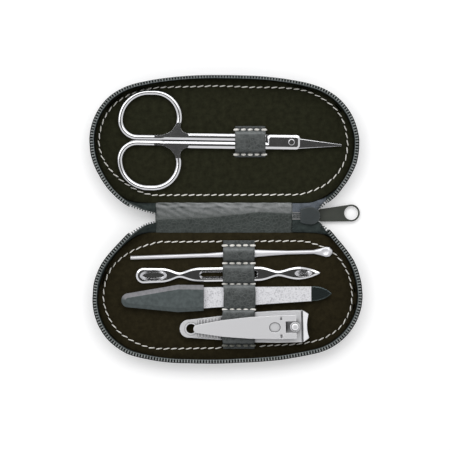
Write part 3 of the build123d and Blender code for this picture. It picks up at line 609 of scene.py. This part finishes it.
# Sections along a tooth: (share of its reach, of its width, of its height)
tooth_shape = ((0.0, 0.7, 0.75), (0.18, 0.85, 0.95), (0.55, 0.8, 0.92), (0.78, 1.1, 1.0),
               (0.92, 1.0, 0.85), (1.0, 0.5, 0.45))
coil_reach, end_reach = 1.3, 0.8  # width of the coil, and of its flatter turns near the fold
full_reach = ((36.0, 0.0), (41.0, 1.0))  # where the flatter turns grow to full width
first_tooth = {"base": 0.9, "lid": 0.3}
slider_mouth = 38.9
cord_edge = {"base": (-0.4, -0.3), "lid": (-0.4, 0.1)}  # from the teeth's tips: ends, far side


def nylon(name, dark, light):
    """Drawn nylon wire, a little uneven in shade."""
    material, tree, shader = finish(name, dark, 0.3, gloss=0.6)
    tint(tree, shader, pattern(tree, "Noise", 600.0, Detail=3.0), dark, light)
    relief(tree, shader, pattern(tree, "Noise", 2500.0, Detail=2.0), 0.03, 0.5)
    return material


# The same nylon twice: the paler copy, on the coil round each half, is painted light on the turns'
# lit tops; the darker copy, for the ends and the chain, is near the wire's own dark shade.
coil = nylon("nylon_coil", (112, 118, 117), (152, 157, 155))
dark_coil = nylon("dark_nylon_coil", (44, 49, 49), (70, 76, 76))
# Near-black: painted shade between the coil's turns.
shade_cord = woven("coil_shade_cord", (20, 22, 21), (12, 13, 12), (26, 29, 28))


def tooth(points, faces, root, out, ahead, reach, wide=tooth_width, tall=tooth_height):
    """One turn of the coil, from its root outward; root is the middle of its inner end."""
    rows = []
    for share, across, up in tooth_shape:
        ring = []
        for k in range(8):
            angle = 2 * math.pi * (k + 0.5) / 8
            flat = root[:2] + out * share * reach + ahead * math.cos(angle) * across * wide / 2
            ring.append((flat[0], flat[1], root[2] + math.sin(angle) * up * tall / 2))
        rows.append(ring)
    skin(rows, points, faces)


def cord_section(half, k):
    """A near-black cord under the coil: painted shade, seen between its turns."""
    line, out, top = (rim[half][key][k] for key in ("line", "out", "top"))
    at_end, at_far = cord_edge[half]
    edge = between(at_far, at_end, abs(out[0]) ** 1.5)
    section = []
    for back, height in ((coil_reach + 0.1, 0.62), (coil_reach + 0.1, 0.15), (edge + 0.12, 0.15),
                         (edge, 0.3), (edge, 0.5), (edge + 0.12, 0.62)):
        spot = (line - out * back) * (1, side_of[half])
        section.append((spot[0] + shift_of[half], spot[1], top - tooth_height + height - 0.2))
    return section


for half in half_names:
    left_cut, right_cut = rim[half]["cuts"]
    flip = np.array((1, side_of[half]))
    line = np.column_stack([rim[half]["line"], rim[half]["top"]])
    run = np.concatenate([[0], np.cumsum(np.linalg.norm(np.diff(line, axis=0), axis=1))])
    mouth = max(k for k in range(1, len(line)) if line[k, 0] + shift_of[half] > slider_mouth)
    parts = {"start": ([], []), "round": ([], []), "end": ([], [])}
    for mark in np.arange(first_tooth[half], run[mouth], tooth_pitch):
        k = int(np.searchsorted(run, mark)) - 1
        spot = between(line[k], line[k + 1], (mark - run[k]) / (run[k + 1] - run[k]))
        out = rim[half]["out"][k]
        ahead = np.array((out[1], -out[0]))
        part = "start" if k < left_cut else "end" if k >= right_cut else "round"
        reach = coil_reach
        if part != "round":
            reach = between(end_reach, coil_reach, along(abs(spot[0]), full_reach))
        root = (spot[:2] - out * coil_reach) * flip
        root = np.array((root[0] + shift_of[half], root[1], spot[2] - tooth_height / 2))
        tooth(*parts[part], root, out * flip, ahead * flip, reach)
    for part, (points, faces) in parts.items():
        teeth = piece(f"{half}_coil_{part}", points, faces)
        strands = [(teeth, coil if part == "round" else dark_coil)]
        if part == "round":
            rows = [cord_section(half, k) for k in range(left_cut, right_cut + 1)]
            strands.append((piece(f"{half}_cord_{part}", *skin(rows)), shade_cord))
        for strand, material in strands:
            dress(strand, material)
            fasten(strand, half, part, "coil")

# Closed chain: the last turns of both coils, meshed, between the fold's strip and the slider.
# A sewn cord runs along either side of the meshed teeth.
chain_middle, chain_height, chain_end = 0.8, 3.2, 32.9
chain_root, chain_reach, chain_wide, chain_tall = 1.15, 1.75, 0.55, 1.25
side_cord, side_cord_wide, side_cord_tall = 0.92, 0.26, 0.5  # its place from the chain's middle
points, faces = [], []
for number in range(9):
    x = fold_right + 0.4 + number * tooth_pitch / 2
    up = 1 if number % 2 else -1
    root = np.array((x, chain_middle - up * chain_root, chain_height))
    tooth(points, faces, root, np.array((0.0, up)), np.array((1.0, 0.0)), chain_reach, chain_wide,
          chain_tall)
for up in (-1, 1):
    rows = []
    for x in np.linspace(fold_right + 0.05, chain_end, 12):
        rows.append([(x, chain_middle + up * (side_cord + side_cord_wide * math.cos(turn)),
                      chain_height + side_cord_tall * math.sin(turn))
                     for turn in np.linspace(0, 2 * math.pi, 9)[:-1]])
    skin(rows, points, faces)
chain = piece("zip_chain", points, faces)
dress(chain, dark_coil)
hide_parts("zip_end_coil")
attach(chain, "spine")

# Fold strip: a soft leather strip glued over the fold's inside, crowned to a low ridge
# where it was creased, with fine folds along its edges.
strip_edge = 6.3
strip_low, strip_edge_height, strip_ridge = 0.92, 2.3, 1.15
strip_wave, strip_crease, strip_rounding = 0.07, 0.05, 0.18
ridge_line = ((-28.6, -1.2), (-8.6, -0.4), (5.9, 1.2), (14.3, 2.2), (26.7, 1.5))


def by_slope(tree, shader, start, end, flat, lit_side):
    """Tints the slopes facing the lid paler: painted light, from the lamp beyond the lid."""
    toward_lid = ranged(tree, one_axis(tree, "Normal", "Y"), start, end)
    blend_tints(tree, shader, toward_lid, flat, lit_side)


def grained(name, shade, dark, light, lit_tint):
    """Dressed leather: criss-cross paler creases, soft pebble, painted light toward the lid."""
    material, tree, shader = finish(name, shade, 0.42, gloss=0.45)
    folds = pattern(tree, "Noise", 260.0, Detail=6.0, Distortion=1.4)
    cells = pattern(tree, "Voronoi", 640.0, feature="DISTANCE_TO_EDGE", Randomness=1.0)
    crease = ranged(tree, cells, 0.0, 0.14)
    crease.node.interpolation_type = "SMOOTHSTEP"
    pale = tuple(min(255, round(value * 1.1)) for value in light)
    lined = tint(tree, None, folds, light, pale)
    blend_tints(tree, shader, crease, lined, tint(tree, None, folds, dark, light))
    mixed = shader.inputs["Base Color"].links[0].from_socket
    by_slope(tree, shader, 0.04, 0.3, mixed, tint(tree, None, folds, *lit_tint))
    relief(tree, shader, crease, 0.11, 0.8)
    pebble = pattern(tree, "Noise", 700.0, Detail=4.0, Distortion=0.8)
    relief(tree, shader, pebble, 0.16, 0.7)
    relief(tree, shader, folds, 0.35, 0.5)
    return material


# The last, paler pair of shades goes on the slopes facing the lid: painted light.
strip = grained("fold_strip_leather", (44, 50, 47), (36, 42, 39), (53, 59, 56),
                ((104, 107, 107), (136, 138, 138)))
rows = []
for x in np.linspace(fold_left, fold_right, 116):
    ridge = along(x, ridge_line)
    rounding = strip_rounding * math.exp(-min(x - fold_left, fold_right - x) / 0.35)
    upper, lower = [], []
    for v in np.linspace(-strip_edge, strip_edge, 50):
        reach = ridge + strip_edge if v < ridge else strip_edge - ridge
        share = (strip_edge + v if v < ridge else strip_edge - v) / reach
        crown = strip_ridge * (1 - (1 - share) ** 1.25 * (1 - 0.15 * share))
        beside_edge = math.exp(-((abs(v) - 4.9) / 0.9) ** 2)
        wave = strip_wave * math.sin(1.9 * v + 1.3 * math.sin(0.45 * x)) * beside_edge
        fine_folds = math.sin(0.9 * x + 2.2 * v + 1.7 * math.sin(0.31 * x)) * (1 - share)
        height = strip_edge_height + crown + wave + strip_crease * fine_folds - rounding
        upper.append((x, v, height))
        lower.append((x, v, strip_low))
    rows.append(upper + lower[::-1])
facing = piece("fold_strip", *skin(rows))
dress(facing, strip)
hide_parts("spine_facing")
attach(facing, "spine")

# Tool strap: grained leather laid over four tools in the base and sewn down between them
# with short rows of heavy stitches. Its last bay runs under the clipper's lever.
strap_start, strap_end = 9.5, 54.6
strap_bays = ((12.8, 17.6, 4.4), (20.1, 26.85, 4.65), (28.35, 37.6, 5.4), (38.7, 52.0, 6.44))
strap_rows = (11.6, 19.0, 27.5, 38.15, 53.2)
strap_floor, strap_thickness, strap_crown = 2.42, 0.5, 0.3
strap_thinning, strap_unevenness = 0.12, 0.018  # at its cut edges, and all over
strap_valleys = (strap_floor, strap_floor, 3.3, 4.9, strap_floor)  # its underside at each row
strap_sway = ((19.0, 0.0), (22.0, -0.15), (27.5, 0.0), (30.5, 0.35), (36.0, 0.35), (38.15, 0.0),
              (41.0, -0.4), (50.0, -0.4), (53.2, 0.0))  # it lies a little crooked
row_step, row_stitch, end_stitch, row_thick, row_rise = 2.8, 2.1, 2.5, 1.0, 0.5
# Its last, paler pair of shades is painted light on the slopes facing the lid.
loop_leather = grained("strap_leather", (54, 58, 57), (44, 48, 47), (66, 70, 69),
                       ((92, 96, 96), (116, 120, 120)))


def humped(start, end, bays, valleys):
    """Side line of a strap's underside: low where it is sewn, rounded over each tool."""
    guides = [(start, valleys[0]), (start + 0.6, valleys[0])]
    for (near, far, height), before, after in zip(bays, valleys, valleys[1:]):
        rise, fall, wide = height - before, height - after, far - near
        guides += [(near - 0.45, before), (near - 0.12, before + 0.22 * rise),
                   (near + 0.08, before + 0.7 * rise), (near + 0.45, height),
                   (near + 0.25 * wide, height + 0.75 * strap_crown),
                   ((near + far) / 2, height + strap_crown),
                   (far - 0.25 * wide, height + 0.75 * strap_crown),
                   (far - 0.45, height), (far - 0.08, after + 0.7 * fall),
                   (far + 0.12, after + 0.22 * fall), (far + 0.45, after)]
    guides += [(end - 0.6, valleys[-1]), (end, valleys[-1])]
    kept = [guides[0]]
    for guide in guides[1:]:
        if guide[0] > kept[-1][0] + 0.04:
            kept.append(guide)
    return smooth_line(kept, 5)


def strap_piece(name, left, width, side_line, half, seed, sway=((0, 0.0),)):
    """A strap from its side line, a little uneven across."""
    ahead = np.gradient(side_line, axis=0)
    ahead /= np.linalg.norm(ahead, axis=1)[:, None]
    up = np.column_stack([-ahead[:, 1], ahead[:, 0]])
    chance = random.Random(seed)
    wobble = [(chance.uniform(0.1, 0.5), chance.uniform(0.2, 0.6), chance.uniform(0, 6))
              for _ in range(4)]
    rows = []
    for x in np.linspace(0, width, 18):
        thick = strap_thickness - strap_thinning * math.exp(-min(x, width - x) / 0.25)
        upper, lower = [], []
        for (v, z), (nv, nz) in zip(side_line, up):
            uneven = sum(math.sin(a * v * 3 + b * x * 2 + c) for a, b, c in wobble)
            uneven *= strap_unevenness
            at = left + x + along(v, sway)
            lower.append((at, side_of[half] * v, z))
            upper.append((at, side_of[half] * (v + nv * thick), z + nz * (thick + uneven)))
        rows.append(lower + upper[::-1])
    return piece(name, *skin(rows))


def row_threads(name, left, width, rows, valleys, half, seed):
    """Rows of heavy stitches across a strap, the end ones reaching past its sides."""
    chance = random.Random(seed)
    points, faces = [], []
    for v, valley in zip(rows, valleys):
        for number in range(-2, 3):
            outermost = abs(number) == 2
            x = left + width / 2 + number * (row_step + 0.1 * outermost)
            turn = chance.uniform(-0.08, 0.08)
            size = (end_stitch if outermost else row_stitch) * chance.uniform(0.96, 1.04)
            place = (x, side_of[half] * (v + chance.uniform(-0.04, 0.04)))
            floor = valley + strap_thickness + 0.02
            stitch(points, faces, place, turn, size, row_thick, floor, row_rise)
    return piece(name, points, faces)


tool_strap = strap_piece("leather_tool_strap", strap_left, strap_width,
                         humped(strap_start, strap_end, strap_bays, strap_valleys),
                         "base", 3, strap_sway)
dress(tool_strap, loop_leather)
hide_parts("tool_strap")
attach(tool_strap, "base")
# A darker copy of the thread for the strap's last row: painted shade under the clipper's lever.
shaded_thread, shaded_thread_tree, shaded_thread_shader = finish("shaded_thread", (150, 150, 140), 0.7, gloss=0.2)
tint(shaded_thread_tree, shaded_thread_shader, pattern(shaded_thread_tree, "Noise", 700.0, Detail=3.0),
     (116, 118, 110), (166, 166, 156))
for name, first, last, material in (("strap_thread", 0, 4, thread),
                                    ("strap_end_thread", 4, 5, shaded_thread)):
    strap_thread = row_threads(name, strap_left, strap_width, strap_rows[first:last],
                               strap_valleys[first:last], "base", 5)
    dress(strap_thread, material)
    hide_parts("tool_strap_stitching")
    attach(strap_thread, "base")

# Scissors loop: a shorter strap of the same leather in the lid, sewn down on both sides.
# It has a single bay, over the two shanks.
loop_left, loop_width, loop_near, loop_far = 3.9, 12.6, 25.2, 38.1
loop_bays = ((27.35, 35.5, 5.55),)
loop_rows = (26.3, 36.6)
loop_valleys = (strap_floor, strap_floor)
scissors_loop = strap_piece("leather_scissors_loop", loop_left, loop_width,
                            humped(loop_near, loop_far, loop_bays, loop_valleys), "lid", 4)
dress(scissors_loop, loop_leather)
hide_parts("scissors_loop")
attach(scissors_loop, "lid")
loop_thread = row_threads("loop_thread", loop_left, loop_width, loop_rows, loop_valleys, "lid", 6)
dress(loop_thread, thread)
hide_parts("scissors_loop_stitching")
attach(loop_thread, "lid")

# Slider and pull tab: cast zinc, painted dark grey and olive, smooth from handling.
# The tab hangs in the slider's bridge, under it, and lies out beyond the case.


def cad_finish(names, material, sharp=28):
    """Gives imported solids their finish, smooth across gentle edges."""
    for name in names:
        solid = nodes[name]
        dress(solid, material)
        solid.data.polygons.foreach_set("use_smooth", [True] * len(solid.data.polygons))
        solid.data.set_sharp_from_angle(angle=math.radians(sharp))


def paint(name, shade, rough, gloss, marks, dark, light):
    """Sprayed paint, a little uneven in shade and surface."""
    material, tree, shader = finish(name, shade, rough, gloss=gloss)
    tint(tree, shader, pattern(tree, "Noise", marks, Detail=5.0), dark, light)
    relief(tree, shader, pattern(tree, "Noise", 900.0, Detail=3.0), 0.03, 0.4)
    return material


cad_finish(["slider_body"],
           paint("painted_zinc", (46, 52, 53), 0.36, 0.6, 160.0, (41, 47, 48), (52, 58, 59)))
cad_finish(["pull_tab"],
           paint("painted_tab", (60, 63, 55), 0.45, 0.5, 200.0, (45, 49, 42), (56, 59, 52)))

# Polished steel: the scissors and the cuticle tool, ground, polished and chrome-bright.
# Faint polishing lines and cloudiness break up the reflections.


def rounded_over(tree, bump, radius):
    """Softens a piece's edges under its relief, by a radius in millimetres."""
    rounded = tree.nodes.new("ShaderNodeBevel")
    rounded.inputs["Radius"].default_value = radius / 1000
    tree.links.new(rounded.outputs["Normal"], bump.inputs["Normal"])


steel, steel_tree, steel_shader = finish("polished_steel", (226, 226, 228), 0.16, metal=1.0)
clouding = ranged(steel_tree, pattern(steel_tree, "Noise", 500.0, Detail=4.0), 0.0, 1.0, 0.1, 0.16)
steel_tree.links.new(clouding, steel_shader.inputs["Roughness"])
polish_lines = pattern(steel_tree, "Noise", 300.0, Detail=2.0)
rounded_over(steel_tree, relief(steel_tree, steel_shader, polish_lines, 0.002, 0.2), 0.1)
cad_finish(["scissors_under_half", "scissors_over_half", "scissors_screw"], steel, sharp=20)
cad_finish(["cuticle_tool"], steel, sharp=12)

# Nail file: a steel blade faced with glued grit, its tang in a moulded grey-green handle.
# The handle is faceted, and its facets toward the lid are painted paler: painted light.
handle_plastic, handle_tree, handle_shader = finish("handle_plastic", (72, 82, 82), 0.5, gloss=0.4)
speckle = pattern(handle_tree, "Noise", 700.0, Detail=6.0)
handle_flat = tint(handle_tree, None, speckle, (60, 68, 68), (78, 86, 86))
handle_lit = tint(handle_tree, None, speckle, (112, 112, 115), (134, 133, 136))
# Painted light: the facets facing the lid are tinted paler.
by_slope(handle_tree, handle_shader, 0.05, 0.3, handle_flat, handle_lit)
relief(handle_tree, handle_shader, pattern(handle_tree, "Noise", 1200.0, Detail=4.0), 0.05, 0.6)
cad_finish(["file_handle"], handle_plastic)
grit, grit_tree, grit_shader = finish("grit", (214, 214, 217), 0.75, gloss=0.4)
grains = pattern(grit_tree, "Noise", 1500.0, Detail=3.0, Roughness=0.8)
tint(grit_tree, grit_shader, grains, (160, 160, 164), (218, 218, 221), 0.3, 0.52)
relief(grit_tree, grit_shader, grains, 0.15, 0.8)
cad_finish(["file_grit"], grit)

# Satin steel: the ear pick, the file's blade and the nail clipper, fine-brushed lengthwise.
# The blade is left darker, and the clipper has painted shade in its recesses.


def brushed_steel(name, shade, rough, edge=0.3, metal=1.0, recess_shade=None):
    """Steel with fine lines along X; edge rounding and painted recess-shade reach in millimetres.
    """
    material, tree, shader = finish(name, shade, rough, metal=metal)
    lines = pattern(tree, "Noise", 3000.0, Detail=4.0)
    stretch = tree.nodes.new("ShaderNodeMapping")
    stretch.inputs["Scale"].default_value = (0.05, 1.0, 1.0)
    tree.links.new(places(tree)["Object"], stretch.inputs["Vector"])
    tree.links.new(stretch.outputs["Vector"], lines.node.inputs["Vector"])
    rounded_over(tree, relief(tree, shader, lines, 0.015, 0.5), edge)
    if recess_shade:
        # Painted shade: darker where the surface is hemmed in, in recesses and gaps.
        occlusion = tree.nodes.new("ShaderNodeAmbientOcclusion")
        occlusion.inputs["Distance"].default_value = recess_shade / 1000
        openness = ranged(tree, occlusion.outputs["AO"], 0.5, 0.95)
        tint(tree, shader, openness, (52, 54, 54), shade, 0.0, 1.0)
    return material


cad_finish(["ear_pick"], brushed_steel("satin_rod", (226, 226, 229), 0.5))
# The blade's darker steel is partly its own plainer finish, partly painted dark reflection of its
# flat.
cad_finish(["file_blade"], brushed_steel("blade_steel", (104, 116, 116), 0.22, 0.6))
cad_finish(["clipper_lower_arm", "clipper_upper_arm", "clipper_lever", "clipper_eyelet",
            "clipper_pin"],
           brushed_steel("satin_steel", (250, 250, 252), 0.27, 0.35, 0.5, recess_shade=2.4), sharp=15)

# Table and light: a white sweep, a wide soft light from beyond the lid, and a pale room
# that is darker straight overhead, so that flat polished metal stays grey.
floor_size = 3.0  # metres, like every length in this section
table_glow = 0.22  # what the camera sees added to the table, to keep it white
floor_mesh = bpy.data.meshes.new("table")
floor_mesh.from_pydata([(-floor_size, -floor_size, 0), (floor_size, -floor_size, 0),
                        (floor_size, floor_size, 0), (-floor_size, floor_size, 0)],
                       [], [(0, 1, 2, 3)])
table = bpy.data.objects.new("table", floor_mesh)
table.location = (0, 0, -0.00005)
bpy.context.scene.collection.objects.link(table)
white, white_tree, white_shader = finish("white_table", (243, 243, 243), 0.9, gloss=0.0)
rays = white_tree.nodes.new("ShaderNodeLightPath").outputs
seen = rays["Is Camera Ray"]
for name in ("Is Glossy Ray", "Is Transmission Ray"):
    seen = worked_out(white_tree, "ADD", seen, rays[name])
white_shader.inputs["Emission Color"].default_value = (1, 1, 1, 1)
white_tree.links.new(worked_out(white_tree, "MULTIPLY", seen, table_glow),
                     white_shader.inputs["Emission Strength"])
table.data.materials.append(white)

world = bpy.data.worlds.new("room")
bpy.context.scene.world = world
world.use_nodes = True
room = world.node_tree
background = room.nodes["Background"]
overhead = room.nodes.new("ShaderNodeValToRGB")
overhead.color_ramp.elements[0].position = 0.0
overhead.color_ramp.elements[0].color = (0.7, 0.7, 0.71, 1)
overhead.color_ramp.elements[1].position = 0.965
overhead.color_ramp.elements[1].color = (0.045, 0.045, 0.043, 1)
for position, level in ((0.35, 0.84), (0.84, 0.84)):
    overhead.color_ramp.elements.new(position).color = (level, level, level * 1.01, 1)
room.links.new(one_axis(room, "Generated", "Z"), overhead.inputs["Fac"])
room.links.new(overhead.outputs["Color"], background.inputs["Color"])
background.inputs["Strength"].default_value = 1.0

key_data = bpy.data.lights.new("key", "AREA")
key_data.shape = "RECTANGLE"
key_data.size, key_data.size_y = 1.5, 0.58
key_data.energy = 5.0
key = bpy.data.objects.new("key", key_data)
key.location = (-0.1, 0.45, 0.78)
key.rotation_euler = (-Vector(key.location)).to_track_quat("-Z", "Y").to_euler()
bpy.context.scene.collection.objects.link(key)
bpy.context.scene.view_settings.view_transform = "Standard"
